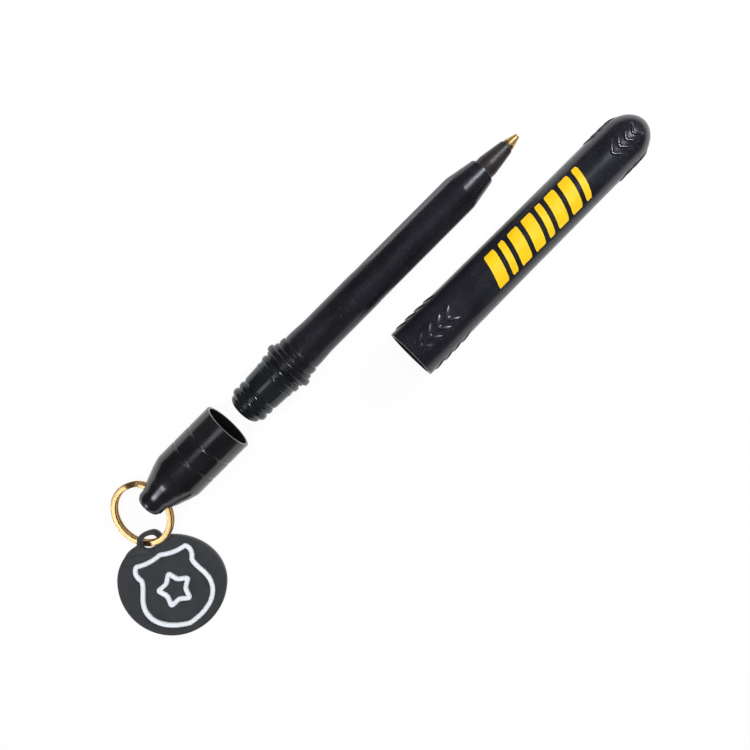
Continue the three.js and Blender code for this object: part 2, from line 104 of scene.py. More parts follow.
# A material's node graph, with small helpers for the patterns that several finishes share
class Finish:
    def __init__(self, name):
        self.material = bpy.data.materials.new(name)
        self.material.use_nodes = True
        self.tree = self.material.node_tree
        self.shader = self.tree.nodes["Principled BSDF"]
        self.place = self.add("ShaderNodeTexCoord").outputs["Object"]
        self.bumps = None

    def add(self, kind, **values):
        node = self.tree.nodes.new(kind)
        for key, value in values.items():
            setattr(node, key, value)
        return node

    def link(self, source, target):
        self.tree.links.new(source, target)

    def plain(self, **values):
        for name, value in values.items():
            setInput(self.shader, name.replace("_", " "), value)
        return self

    def feed(self, source, name):
        self.link(source, self.shader.inputs[name])

    def stretched(self, scale):
        node = self.add("ShaderNodeMapping", vector_type="TEXTURE")
        setInput(node, "Scale", scale)
        self.link(self.place, node.inputs["Vector"])
        return node.outputs["Vector"]

    def noise(self, scale, detail=3, roughness=0.55, vector=None):
        node = self.add("ShaderNodeTexNoise")
        setInput(node, "Scale", scale)
        setInput(node, "Detail", detail)
        setInput(node, "Roughness", roughness)
        self.link(vector or self.place, node.inputs["Vector"])
        return node.outputs["Fac"]

    def ranged(self, value, low, high, toLow=0.0, toHigh=1.0):
        return smoothRange(self.tree, value, low, high, toLow, toHigh)

    def maths(self, operation, first, second=0.0):
        node = self.add("ShaderNodeMath", operation=operation)
        for socket, value in zip(node.inputs, (first, second)):
            if isinstance(value, (int, float)):
                socket.default_value = value
            else:
                self.link(value, socket)
        return node.outputs["Value"]

    def mixed(self, fac, first, second):
        node = self.add("ShaderNodeMix", data_type="RGBA")
        self.link(fac, node.inputs["Factor"])
        for socket, value in ((node.inputs[6], first), (node.inputs[7], second)):
            if isinstance(value, tuple):
                socket.default_value = value
            else:
                self.link(value, socket)
        return node.outputs[2]

    def bump(self, height, depth, strength):
        node = self.add("ShaderNodeBump")
        setInput(node, "Distance", depth * mm)
        setInput(node, "Strength", strength)
        self.link(height, node.inputs["Height"])
        if self.bumps:
            self.link(self.bumps, node.inputs["Normal"])
        self.bumps = node.outputs["Normal"]
        self.feed(self.bumps, "Normal")


# Moulded plastic: a faint flow mottle, a fine skin, hairline scratches along the pen and dust
def mouldedPlastic(name, colour, roughness, mottle=0.2, skin=0.002, dust=0.6, index=1.5):
    scratch, dustColour = 0.12, (0.22, 0.22, 0.23, 1)
    finish = Finish(name)
    flow = finish.noise(260, 4, vector=finish.stretched((2.4, 1, 1)))
    base = finish.mixed(finish.ranged(flow, 0.35, 0.65), *tones(colour, mottle, 0.002))
    specks = finish.ranged(finish.noise(5200, 1, 0.4), 0.735, 0.765, 0, dust)
    finish.feed(finish.mixed(specks, base, dustColour), "Base Color")
    worn = finish.noise(420, 4, 0.6)
    worn = finish.ranged(worn, 0.3, 0.75, roughness - 0.03, roughness + 0.04)
    finish.feed(finish.maths("ADD", worn, finish.maths("MULTIPLY", specks, 0.3)), "Roughness")
    finish.bump(finish.noise(2600, 2), skin, 0.6)
    hairlines = finish.noise(1500, 2, 0.6, finish.stretched((26, 1, 1)))
    finish.bump(finish.ranged(hairlines, 0.66, 0.72), -0.002, scratch)
    return finish.plain(IOR=index).material


# Polished metal: "brush" is the depth of the turning marks round the pen's axis
def polishedMetal(name, colour, roughness, brush=0.0, wear=0.14):
    finish = Finish(name)
    finish.plain(Metallic=1.0)
    worn = finish.noise(700, 4, 0.65)
    dull, bright = tones(colour, wear)[0], colour + (1,)
    finish.feed(finish.mixed(finish.ranged(worn, 0.4, 0.7), bright, dull), "Base Color")
    smooth, rough = roughness * (1 - wear), roughness * (1 + 2 * wear)
    finish.feed(finish.ranged(worn, 0.3, 0.8, smooth, rough), "Roughness")
    if brush:
        finish.bump(finish.noise(3000, 2, 0.5, finish.stretched((1, 12, 12))), brush, 0.7)
    finish.bump(finish.noise(1400, 3), 0.0006, 0.5)
    return finish.material


def softVinyl(name, colour, roughness, grain=0.006, mottle=0.12):
    finish = Finish(name)
    soft = finish.noise(420, 4)
    finish.feed(finish.mixed(finish.ranged(soft, 0.3, 0.7), *tones(colour, mottle)), "Base Color")
    finish.feed(finish.ranged(soft, 0.3, 0.7, roughness - 0.06, roughness + 0.06), "Roughness")
    finish.bump(finish.noise(3200, 2), grain, 0.7)
    return finish.plain(IOR=1.5, Sheen_Weight=0.15, Sheen_Roughness=0.5).material


def smokyResin():
    dark, pale = (0.024, 0.018, 0.018, 1), (0.036, 0.028, 0.027, 1)
    finish = Finish("smokyResin")
    cloud = finish.noise(300, 3)
    finish.feed(finish.mixed(finish.ranged(cloud, 0.3, 0.7), dark, pale), "Base Color")
    finish.feed(finish.ranged(cloud, 0.3, 0.7, 0.38, 0.46), "Roughness")
    finish.bump(finish.noise(1800, 2), 0.0008, 0.5)
    return finish.plain(IOR=1.5).material


finishes = {
    "barrel_plastic": mouldedPlastic("barrelPlastic", (0.011, 0.011, 0.015), 0.28, skin=0.0006),
    "cap_plastic": mouldedPlastic("capPlastic", (0.0145, 0.0145, 0.02), 0.25),
    "tail_plastic": mouldedPlastic(
        "tailPlastic", (0.011, 0.0105, 0.0125), 0.19, skin=0.0008, dust=0.2, index=1.68
    ),
    "plug_plastic": mouldedPlastic(
        "plugPlastic", (0.0115, 0.0138, 0.0165), 0.14, skin=0.0003, dust=0.15
    ),
    "tube_plastic": mouldedPlastic("tubePlastic", (0.6, 0.58, 0.52), 0.35, mottle=0.05, dust=0),
    "ink": mouldedPlastic("blackInk", (0.004, 0.004, 0.007), 0.12, dust=0),
    "holder_resin": smokyResin(),
    "point_brass": polishedMetal("pointBrass", (0.76, 0.5, 0.2), 0.4, brush=0.00015, wear=0.04),
    "ball_metal": polishedMetal("ballMetal", (0.6, 0.6, 0.62), 0.12),
    "ring_metal": polishedMetal("ringGold", (0.73, 0.47, 0.2), 0.36, wear=0.03),
    "charm_vinyl": softVinyl("charmVinyl", (0.037, 0.038, 0.041), 0.6),
    "line_vinyl": softVinyl("lineVinyl", (0.86, 0.9, 0.94), 0.5, grain=0.003, mottle=0.03),
    "yellow_print": softVinyl("yellowPrint", (0.99, 0.62, 0.01), 0.42, grain=0.003, mottle=0.05),
}
print("finishes made:", len(finishes))


def dressNode(name, slotName):
    weldReach, creaseAngle = 1e-7, 35
    node = nodes[name]
    node.data.materials.clear()
    node.data.materials.append(finishes[slotName])
    weld = node.modifiers.new("weld", "WELD")
    weld.merge_threshold = weldReach
    node.data.polygons.foreach_set("use_smooth", [True] * len(node.data.polygons))
    split = node.modifiers.new("creases", "EDGE_SPLIT")
    split.split_angle = math.radians(creaseAngle)
    split.use_edge_sharp = False


for subpart in frame["record"]["subparts"]:
    dressNode(subpart["node"], subpart["material_slot"])
print("nodes dressed")


# The axes that the turned pieces lie on, in millimetres; "way" is the side their own x runs to
axes = {
    "pen": {"x": -12.9373, "y": 10.5021, "z": 6.32, "way": 1},
    "cap": {"x": 7.8327, "y": -7.7479, "z": 6.7, "way": 1},
    "tail": {"x": -33.6673, "y": 10.5021, "z": 6.32, "way": -1},
}


# Part of an ellipse; a power over 2 squares its shoulders
def arcPoints(x, radius, halfLength, halfHeight, start, end, steps, power=2.0):
    points = []
    for i in range(steps + 1):
        angle = math.radians(start + (end - start) * i / steps)
        across, up = math.cos(angle), math.sin(angle)
        points.append((
            x + halfLength * math.copysign(abs(across) ** (2 / power), across),
            radius + halfHeight * math.copysign(abs(up) ** (2 / power), up),
        ))
    return points


def beadPoints(x, width, foot, top, steps=12):
    return arcPoints(x, foot, width / 2, top - foot, 180, 0, steps)


def stretchPoints(start, end, step):
    count = max(1, round(math.hypot(end[0] - start[0], end[1] - start[1]) / step))
    return [tuple(a + (b - a) * i / count for a, b in zip(start, end)) for i in range(1, count)]


# A smooth run through the given points, ends included
def splinePoints(points, steps=8):
    run = []
    for i in range(len(points) - 1):
        before = points[max(0, i - 1)]
        start, end = points[i], points[i + 1]
        after = points[min(len(points) - 1, i + 2)]
        for k in range(steps):
            t = k / steps
            run.append(tuple(
                0.5 * (
                    2 * b + (c - a) * t + (2 * a - 5 * b + 4 * c - d) * t**2
                    + (3 * b - a - 3 * c + d) * t**3
                )
                for a, b, c, d in zip(before, start, end, after)
            ))
    return run + [points[-1]]


# The outline with each corner rounded off, and held by a point on either side so that the long
# runs shade flat
def softened(outline, radius, closed=True, steps=3, sharpest=16):
    points = [Vector(outline[0])]
    for point in outline[1:]:
        if (Vector(point) - points[-1]).length > 1e-4:
            points.append(Vector(point))
    count = len(points)
    result = []
    for i, point in enumerate(points):
        if not closed and i in (0, count - 1):
            result.append(tuple(point))
            continue
        before, after = points[i - 1] - point, points[(i + 1) % count] - point
        if math.degrees(math.pi - before.angle(after)) < sharpest:
            result.append(tuple(point))
            continue
        reach = min(radius, before.length / 2, after.length / 2)
        start, end = point + before.normalized() * reach, point + after.normalized() * reach
        if before.length > 5 * reach:
            result.append(tuple(point + before.normalized() * 2 * reach))
        for k in range(steps + 1):
            t = k / steps
            result.append(tuple(start * (1 - t) ** 2 + point * 2 * t * (1 - t) + end * t**2))
        if after.length > 5 * reach:
            result.append(tuple(point + after.normalized() * 2 * reach))
    return result


def makeMesh(name, vertices, faces):
    mesh = bpy.data.meshes.new(name)
    mesh.from_pydata([tuple(c * mm for c in vertex) for vertex in vertices], [], faces)
    return mesh


def placeObject(name, data):
    placed = bpy.data.objects.new(name, data)
    bpy.context.collection.objects.link(placed)
    return placed


# The mesh that an object's modifiers make; the helper objects go
def appliedMesh(helper, *others):
    graph = bpy.context.evaluated_depsgraph_get()
    mesh = bpy.data.meshes.new_from_object(helper.evaluated_get(graph))
    for done in (helper, *others):
        bpy.data.objects.remove(done)
    return mesh


def cleanMesh(mesh):
    work = bmesh.new()
    work.from_mesh(mesh)
    bmesh.ops.remove_doubles(work, verts=work.verts, dist=1e-7)
    bmesh.ops.recalc_face_normals(work, faces=work.faces)
    work.to_mesh(mesh)
    work.free()


def makePiece(name, vertices, faces, slotName, body, nodeName=None, crease=32):
    finishPiece(name, makeMesh(name, vertices, faces), slotName, body, nodeName, crease)


def finishPiece(name, mesh, slotName, body, nodeName=None, crease=32):
    cleanMesh(mesh)
    mesh.shade_smooth()
    mesh.set_sharp_from_angle(angle=math.radians(crease))
    mesh.materials.clear()
    mesh.materials.append(finishes[slotName])
    piece = placeObject(name, mesh)
    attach(piece, body)
    if nodeName:
        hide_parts(nodeName)


# Faces between "rings" rings of points, the last joined to the first where they close
def loopFaces(rings, count, closed=True):
    faces = []
    for i in range(rings if closed else rings - 1):
        for j in range(count):
            a, b = i * count + j, i * count + (j + 1) % count
            c, d = (i + 1) % rings * count + j, (i + 1) % rings * count + (j + 1) % count
            faces.append((a, b, d, c))
    return faces


# Faces of a thin closed pad: a lower and an upper grid of points, joined round their rim
def padFaces(base, rows, columns):
    faces = []
    wide = columns + 1
    size = (rows + 1) * wide
    for i in range(rows):
        for k in range(columns):
            a = base + i * wide + k
            quad = (a, a + 1, a + wide + 1, a + wide)
            faces.append(quad)
            faces.append(tuple(size + corner for corner in reversed(quad)))
    rim = [base + i * wide for i in range(rows + 1)]
    rim += [base + rows * wide + k for k in range(1, wide)]
    rim += [base + i * wide + columns for i in range(rows - 1, -1, -1)]
    rim += [base + k for k in range(columns - 1, 0, -1)]
    for a, b in zip(rim, rim[1:] + rim[:1]):
        faces.append((a, b, b + size, a + size))
    return faces


# A turned body: "limit" may lower the radius at a place and angle, and the parting line stands up
# a hair on both sides
def turnedMesh(outline, axis, facets=144, limit=None, seam=0.0):
    angles = [2 * math.pi * i / facets for i in range(facets)]
    if seam:
        for side in (90, 270):
            angles += [math.radians(side + offset) for offset in (-1.0, -0.4, 0.4, 1.0)]
    angles = sorted(set(round(angle, 6) for angle in angles))
    vertices = []
    for x, radius in outline:
        for angle in angles:
            here = radius
            if limit:
                here = min(here, limit(x, angle, radius))
            if seam and abs(abs(math.degrees(angle) - 180) - 90) < 0.5:
                here += seam
            vertices.append((
                axis["x"] + axis["way"] * x,
                axis["y"] - here * math.sin(angle),
                axis["z"] + here * math.cos(angle),
            ))
    closed = outline[0][1] > 1e-6 and outline[-1][1] > 1e-6
    return vertices, loopFaces(len(outline), len(angles), closed)


# Barrel: collars, a flange, a bead, a long grip with three flats, and a cone nose
barrelSizes = {
    "length": 62.3,
    "rear": -2.3,
    "bore": 3.1,
    "holderBore": 2.795,
    "holderBoreLength": 5.5,
    "collarRadius": 5.5,
    "flangeRound": 0.6,
    "grooveRadius": 5.1,
    "gripRadius": 4.69,
    "foreRadius": 4.61,
    "flats": (60, 180, 300),
    "flatDepth": 0.2,
    "flatStart": 27.2,
    "flatRamp": 3.8,
    "flatRise": 0.8,
    "flatReach": 1.2,
    "flatBlend": 0.012,
    "round": 0.12,
    "seam": 0.018,
}


# The radius that the grip flats leave, blended into the round where they run out
def flatLimit(x, angle, radius):
    sizes = barrelSizes
    level = sizes["foreRadius"] - sizes["flatDepth"]
    above = level + sizes["flatRise"]
    ramp = sizes["flatRamp"] * math.sqrt((above - level) / sizes["flatDepth"])
    start = sizes["flatStart"] + sizes["flatRamp"] - ramp
    if x < start:
        return radius
    t = min(1.0, (x - start) / ramp)
    height = level + (1 - t) ** 2 * (above - level)
    blend = sizes["flatBlend"]
    lowest = radius
    for middle in sizes["flats"]:
        away = math.radians((math.degrees(angle) - middle + 180) % 360 - 180)
        if abs(away) < sizes["flatReach"]:
            flat = height / math.cos(away)
            gap = lowest - flat
            lowest = 0.5 * (lowest + flat - math.sqrt(gap * gap + 4 * blend * blend)) + blend * 0.5
    return min(lowest, radius)


def makeBarrel():
    sizes = barrelSizes
    length, rear, collar, groove = (
        sizes[key] for key in ("length", "rear", "collarRadius", "grooveRadius")
    )
    grip, fore, corner = sizes["gripRadius"], sizes["foreRadius"], sizes["flangeRound"]
    outline = [(rear, sizes["bore"]), (rear, collar), (-1.7, collar)]
    outline += arcPoints(-1.1, 5.635, corner, corner, 180, 90, 6)
    outline += arcPoints(-0.6, 5.635, corner, corner, 90, 0, 6)
    outline += [(0, collar), (0.85, collar), (1.15, groove)]
    outline += beadPoints(2.2, 1.5, groove, 5.275)
    outline += [(3.12, 4.78), (3.6, 4.93), (5.0, 4.93)]
    outline += splinePoints([(5.4, 4.905), (7, 4.79), (9, grip), (12, grip)], 6)
    outline += stretchPoints((12, grip), (23.8, grip), 2.4)
    outline += splinePoints([(23.8, grip), (24.4, 4.66), (25, fore)], 4)
    outline += stretchPoints((25, fore), (54.6, fore), 0.6)
    nose = [(54.6, fore), (55.3, 4.57), (56.0, 4.45), (58.8, 3.95), (61.5, 3.465)]
    outline += splinePoints(nose, 6)
    outline += splinePoints([nose[-1], (61.9, 3.4), (62.15, 3.32), (length, 3.2)], 4)[1:]
    step = length - sizes["holderBoreLength"]
    outline += [(length, sizes["holderBore"]), (step, sizes["holderBore"]), (step, sizes["bore"])]
    outline = softened(outline, sizes["round"])
    vertices, faces = turnedMesh(outline, axes["pen"], limit=flatLimit, seam=sizes["seam"])
    makePiece("barrelShell", vertices, faces, "barrel_plastic", "pen_body", "barrel")


# Plug: a blunt dome, two ridges, a tapered body, a fine bead and a bead, and a hollow spigot
plugSizes = {
    "rear": -16.43,
    "front": -2.35,
    "domeLength": 1.98,
    "domeRadius": 4.125,
    "domePower": 2.6,
    "dimple": 0.12,
    "ridges": (-13.45, -11.45),
    "beadWidth": 1.5,
    "collarRadius": 5.1,
    "spigotLength": 8,
    "spigotRadius": 3.02,
    "recessDepth": 6.5,
    "recessRadius": 1.87,
    "round": 0.14,
    "seam": 0.012,
}


def makePlug():
    sizes = plugSizes
    rear, front, wide, collar = (
        sizes[key] for key in ("rear", "front", "beadWidth", "collarRadius")
    )
    dimple, dome = rear + sizes["dimple"], sizes["domeLength"]
    outline = [(dimple, 0), (dimple, 0.55), (rear, 0.7)]
    outline += arcPoints(rear + dome, 0, dome, sizes["domeRadius"], 172, 90, 14, sizes["domePower"])
    for middle in sizes["ridges"]:
        outline += beadPoints(middle, wide, 4.45, 4.875)
    outline += [(-9.85, 4.85), (-5.95, 5.05)]
    outline += beadPoints(-5.55, 0.8, 5.05, 5.2, 8)
    outline += [(-4.5, collar)] + beadPoints(-3.55, wide, collar, 5.51) + [(front, collar)]
    spigot, recess = front + sizes["spigotLength"], front - sizes["recessDepth"]
    outline += [(front, sizes["spigotRadius"]), (spigot, sizes["spigotRadius"])]
    outline += [(spigot, sizes["recessRadius"]), (recess, sizes["recessRadius"]), (recess, 0)]
    outline = softened(outline, sizes["round"], closed=False)
    vertices, faces = turnedMesh(outline, axes["pen"], seam=sizes["seam"])
    makePiece("plugShell", vertices, faces, "plug_plastic", "pen_body", "rear_plug")


# The point: a holder that tapers to the front, a brass cone in its socket, and the ball
pointSizes = {
    "facets": 96,
    "holderRear": 50,
    "holderRadius": 2.645,
    "tubeBore": 1.63,
    "tubeEnd": 54,
    "inkBore": 0.6,
    "socketEnd": 66.62,
    "socketRadius": 1.18,
    "shankRear": 66.7,
    "shankRadius": 1.1,
    "coneBase": 70.55,
    "coneRadius": 1.475,
    "ballAt": 73.7,
    "ballRadius": 0.5,
    "ballPlay": 0.05,
    "holderRound": 0.12,
    "socketRound": 0.05,
}


def makePoint():
    sizes = pointSizes
    facets, rear, radius = sizes["facets"], sizes["holderRear"], sizes["holderRadius"]
    holder = [(rear, sizes["tubeBore"]), (rear, radius)]
    holder += stretchPoints((rear, radius), (64.3, radius), 2)
    holder += splinePoints([(64.3, radius), (66.2, 2.36), (68.4, 2.02), (70.2, 1.74)], 6)
    holder += [(70.5, 1.5), (70.5, sizes["socketRadius"])]
    holder += [(sizes["socketEnd"], sizes["socketRadius"]), (sizes["socketEnd"], sizes["inkBore"])]
    holder += [(sizes["tubeEnd"], sizes["inkBore"]), (sizes["tubeEnd"], sizes["tubeBore"])]
    holder = softened(holder, sizes["holderRound"])
    vertices, faces = turnedMesh(holder, axes["pen"], facets)
    makePiece("holderSleeve", vertices, faces, "holder_resin", "refill_body", "refill_holder")
    shank, base, wide = sizes["shankRadius"], sizes["coneBase"], sizes["coneRadius"]
    seat = sizes["ballRadius"] + sizes["ballPlay"]
    socket = [(sizes["shankRear"], 0.3), (sizes["shankRear"], shank), (base, shank), (base, wide)]
    socket += [(71.1, wide), (71.22, 1.42), (73.5, 0.72), (73.9, 0.6)]
    socket += arcPoints(sizes["ballAt"], 0, seat, seat, 68.7, 147, 10)
    socket = softened(socket, sizes["socketRound"])
    vertices, faces = turnedMesh(socket, axes["pen"], facets)
    makePiece("brassSocket", vertices, faces, "point_brass", "refill_body", "point_socket")
    ball = arcPoints(sizes["ballAt"], 0, sizes["ballRadius"], sizes["ballRadius"], 180, 0, 24)
    vertices, faces = turnedMesh(ball, axes["pen"], facets // 2)
    makePiece("inkedBall", vertices, faces, "ball_metal", "ball_body", "writing_ball")


# Tail cap: two V grooves, a cone that ends in a blunt nose, and the eye through it
tailSizes = {
    "radius": 6.32,
    "mouthRadius": 5.625,
    "mouthLength": 4.5,
    "bore": 5.165,
    "boreEnd": 15.23,
    "end": 26.55,
    "grooves": (6.2, 11.05),
    "grooveDepth": 0.25,
    "grooveWidth": 0.7,
    "eyeAt": 23.26,
    "eyeRadius": 2.0054,
    "eyeRim": 0.16,
    "eyeRimSteps": 3,
    "eyeRimAngle": 38,
    "eyeFacets": 72,
    "drillLength": 15,
    "round": 0.12,
    "seam": 0.018,
}


def tailOutline():
    sizes = tailSizes
    radius, half, end = sizes["radius"], sizes["grooveWidth"] / 2, sizes["end"]
    outline = [(0, sizes["mouthRadius"]), (0, radius)]
    for middle in sizes["grooves"]:
        floor = radius - sizes["grooveDepth"]
        outline += [(middle - half, radius), (middle, floor), (middle + half, radius)]
    outline += splinePoints([
        (15.0, radius), (15.96, 6.29), (17.06, 6.03), (18.3, 5.66), (19.4, 5.24),
        (21.5, 4.47), (23.1, 3.86), (25.0, 3.36), (25.7, 2.98),
    ], 6)
    outline += arcPoints(25.3, 0, 1.3, 3.3, 62, 12, 8) + [(end, 0.4), (end, 0)]
    outline += [(sizes["boreEnd"], 0), (sizes["boreEnd"], sizes["bore"])]
    return outline + [(4.96, sizes["bore"]), (sizes["mouthLength"], sizes["mouthRadius"])]


def eyeDrill():
    sizes, axis = tailSizes, axes["tail"]
    centre = Vector((axis["x"] - sizes["eyeAt"], axis["y"], axis["z"])) * mm
    across = Matrix.Rotation(math.radians(90), 4, "X")
    radius = sizes["eyeRadius"] * mm
    drill = bmesh.new()
    bmesh.ops.create_cone(
        drill, cap_ends=True, segments=sizes["eyeFacets"], radius1=radius, radius2=radius,
        depth=sizes["drillLength"] * mm, matrix=Matrix.Translation(centre) @ across,
    )
    mesh = bpy.data.meshes.new("eyeDrill")
    drill.to_mesh(mesh)
    drill.free()
    return placeObject("eyeDrill", mesh)


def makeTail():
    outline = softened(tailOutline(), tailSizes["round"], closed=False)
    mesh = makeMesh("tailBlank", *turnedMesh(outline, axes["tail"], seam=tailSizes["seam"]))
    cleanMesh(mesh)
    blank, drill = placeObject("tailBlank", mesh), eyeDrill()
    cut = blank.modifiers.new("eye", "BOOLEAN")
    cut.operation = "DIFFERENCE"
    cut.solver = "EXACT"
    cut.object = drill
    rim = blank.modifiers.new("rim", "BEVEL")
    rim.width = tailSizes["eyeRim"] * mm
    rim.segments = tailSizes["eyeRimSteps"]
    rim.limit_method = "ANGLE"
    rim.angle_limit = math.radians(tailSizes["eyeRimAngle"])
    finishPiece("tailShell", appliedMesh(blank, drill), "tail_plastic", "tail_body", "tail_cap")


# Cap: a long shell with a domed end; its chevrons and print are laid on the same outline
capSizes = {
    "length": 75.62,
    "straight": 68.2,
    "mouthRadius": 6.45,
    "mouthLength": 5.8,
    "middleAt": 35,
    "middleRadius": 6.05,
    "farRadius": 5.85,
    "domeLength": 7.4,
    "domeInside": 6.6,
    "tipInset": 0.06,
    "wall": 0.8,
    "socketRadius": 5.575,
    "socketLength": 5.0,
    "round": 0.1,
    "seam": 0.018,
}


def capOutline():
    sizes = capSizes
    mouth = (sizes["mouthLength"], sizes["mouthRadius"])
    middle = (sizes["middleAt"], sizes["middleRadius"])
    straight = sizes["straight"]
    outline = [(0, sizes["mouthRadius"]), mouth]
    outline += splinePoints([mouth, (9, 6.36), (13, 6.25), (24, 6.14), middle], 5)[1:]
    outline += stretchPoints(middle, (straight, 5.87), 3)
    outline += arcPoints(straight, 0, sizes["domeLength"], sizes["farRadius"], 90, 5, 26)
    return outline


# The cap's radius and its outward direction at a distance from the mouth
def capSurface(x):
    points = capOutline()
    for (ax, ar), (bx, br) in zip(points, points[1:]):
        if ax <= x <= bx and bx > ax:
            radius = ar + (br - ar) * (x - ax) / (bx - ax)
            slope = Vector((ar - br, bx - ax)).normalized()
            return radius, slope
    return points[-1][1], Vector((1, 0))


def makeCap():
    sizes = capSizes
    end, bore = sizes["length"] - sizes["tipInset"], sizes["farRadius"] - sizes["wall"]
    inside = arcPoints(sizes["straight"], 0, sizes["domeInside"], bore, 0, 90, 14)
    inside[0] = (inside[0][0], 0)
    outline = [(0, sizes["socketRadius"])] + capOutline() + [(end, 0.45), (end, 0)] + inside
    outline += [(5.53, bore), (sizes["socketLength"], sizes["socketRadius"])]
    outline = softened(outline, sizes["round"], closed=False)
    vertices, faces = turnedMesh(outline, axes["cap"], seam=sizes["seam"])
    makePiece("capShell", vertices, faces, "cap_plastic", "cap_body", "cap_shell")


# Chevrons point to the mouth: each rises steeply behind its front edge and falls off more gently
chevronSizes = {
    "rows": 4,
    "height": 0.23,
    "foot": 0.12,
    "bend": 0.22,
    "mouth": {"first": 1.6, "pitch": 2.85, "reach": (2.5, 2.5, 2.5, 2.5), "along": 1.56},
    "dome": {"first": 62.2, "pitch": 2.15, "reach": (2.5, 2.5, 2.3, 1.9), "along": 1.2},
    "fromEnd": 0.9,
    "steps": 28,
    "stepsAcross": 12,
}


# A point on the cap; near its tip, where a chevron is wider than the dome, the turn is held
def chevronPoint(x, side, rise):
    x = min(x, capSizes["length"] - chevronSizes["fromEnd"])
    radius, slope = capSurface(x)
    inReach = radius > abs(side)
    turn = math.asin(min(0.9, side / radius)) if inReach else math.copysign(1.1, side)
    here = radius + slope.y * rise
    return x + slope.x * rise, -here * math.sin(turn), here * math.cos(turn)


def chevronMesh():
    sizes = chevronSizes
    vertices, faces = [], []
    steps, across, bend = sizes["steps"], sizes["stepsAcross"], sizes["bend"]
    for group in (sizes["mouth"], sizes["dome"]):
        for index, reach in enumerate(group["reach"]):
            apex = group["first"] + index * group["pitch"]
            faces += padFaces(len(vertices), steps, across)
            for raised in (False, True):
                for i in range(steps + 1):
                    side = reach * (2 * i / steps - 1)
                    swept = math.hypot(side, bend) - bend
                    fade = 1 - (abs(side) / reach) ** 6
                    for k in range(across + 1):
                        u = k / across
                        profile = math.sin(math.pi * u**0.7) if u < 1 else 0.0
                        rise = sizes["height"] * profile * fade if raised else -sizes["foot"]
                        x = apex + swept + group["along"] * u
                        vertices.append(chevronPoint(x, side, rise))
    return makeMesh("chevronRow", vertices, faces)


# Geometry nodes that repeat a mesh in even turns about X, with a slight seeded unevenness
def repeatedAround(name, rowMesh, count, finish, seed=7, unevenness=0.004):
    tree = bpy.data.node_groups.new(name, "GeometryNodeTree")
    interface = tree.interface
    interface.new_socket("Geometry", in_out="INPUT", socket_type="NodeSocketGeometry")
    inputs = {
        "Rows": ("NodeSocketInt", count),
        "Seed": ("NodeSocketInt", seed),
        "Unevenness": ("NodeSocketFloat", unevenness),
        "Material": ("NodeSocketMaterial", finish),
    }
    sockets = {
        label: interface.new_socket(label, in_out="INPUT", socket_type=kind)
        for label, (kind, value) in inputs.items()
    }
    interface.new_socket("Geometry", in_out="OUTPUT", socket_type="NodeSocketGeometry")
    add, link = tree.nodes.new, tree.links.new
    given, result = add("NodeGroupInput"), add("NodeGroupOutput")
    points = add("GeometryNodePoints")
    link(given.outputs["Rows"], points.inputs["Count"])
    index = add("GeometryNodeInputIndex")
    step = add("ShaderNodeMath")
    step.operation = "DIVIDE"
    step.inputs[0].default_value = 2 * math.pi
    link(given.outputs["Rows"], step.inputs[1])
    turn = add("ShaderNodeMath")
    turn.operation = "MULTIPLY"
    link(index.outputs["Index"], turn.inputs[0])
    link(step.outputs["Value"], turn.inputs[1])
    uneven = add("FunctionNodeRandomValue")
    uneven.data_type = "FLOAT"
    floats = [socket for socket in uneven.inputs if socket.enabled and socket.type == "VALUE"]
    floats[0].default_value = 0.0
    link(given.outputs["Unevenness"], floats[1])
    link(given.outputs["Seed"], uneven.inputs["Seed"])
    summed = add("ShaderNodeMath")
    link(turn.outputs["Value"], summed.inputs[0])
    link(next(socket for socket in uneven.outputs if socket.enabled), summed.inputs[1])
    rotation = add("ShaderNodeCombineXYZ")
    link(summed.outputs["Value"], rotation.inputs["X"])
    instances = add("GeometryNodeInstanceOnPoints")
    link(points.outputs["Points"], instances.inputs["Points"])
    link(given.outputs["Geometry"], instances.inputs["Instance"])
    link(rotation.outputs["Vector"], instances.inputs["Rotation"])
    realize, paint = add("GeometryNodeRealizeInstances"), add("GeometryNodeSetMaterial")
    link(instances.outputs["Instances"], realize.inputs["Geometry"])
    link(realize.outputs["Geometry"], paint.inputs["Geometry"])
    link(given.outputs["Material"], paint.inputs["Material"])
    link(paint.outputs["Geometry"], result.inputs["Geometry"])
    row = placeObject(name, rowMesh)
    modifier = row.modifiers.new(name, "NODES")
    modifier.node_group = tree
    for label, (kind, value) in inputs.items():
        modifier[sockets[label].identifier] = value
    return appliedMesh(row)


def makeChevrons():
    axis, plastic = axes["cap"], finishes["cap_plastic"]
    mesh = repeatedAround("chevronRows", chevronMesh(), chevronSizes["rows"], plastic)
    mesh.transform(Matrix.Translation(Vector((axis["x"], axis["y"], axis["z"])) * mm))
    finishPiece("capChevrons", mesh, "cap_plastic", "cap_body", crease=50)


makeBarrel()
makePlug()
makePoint()
makeTail()
makeCap()
makeChevrons()
print("turned pieces ready")


# Split ring: flat wire with rounded edges, wound twice
ringSizes = {
    "centre": (-63.142, 10.5021, 3.516),
    "tilt": 0.3504123,
    "inner": 6.738,
    "wire": (1.45, 0.6),
    "edge": 0.24,
    "gap": 0.08,
    "crossingAt": 60,
    "crossingHalf": 12,
    "stepsPerTurn": 150,
    "endThickness": 0.35,
    "endSteps": 3,
}


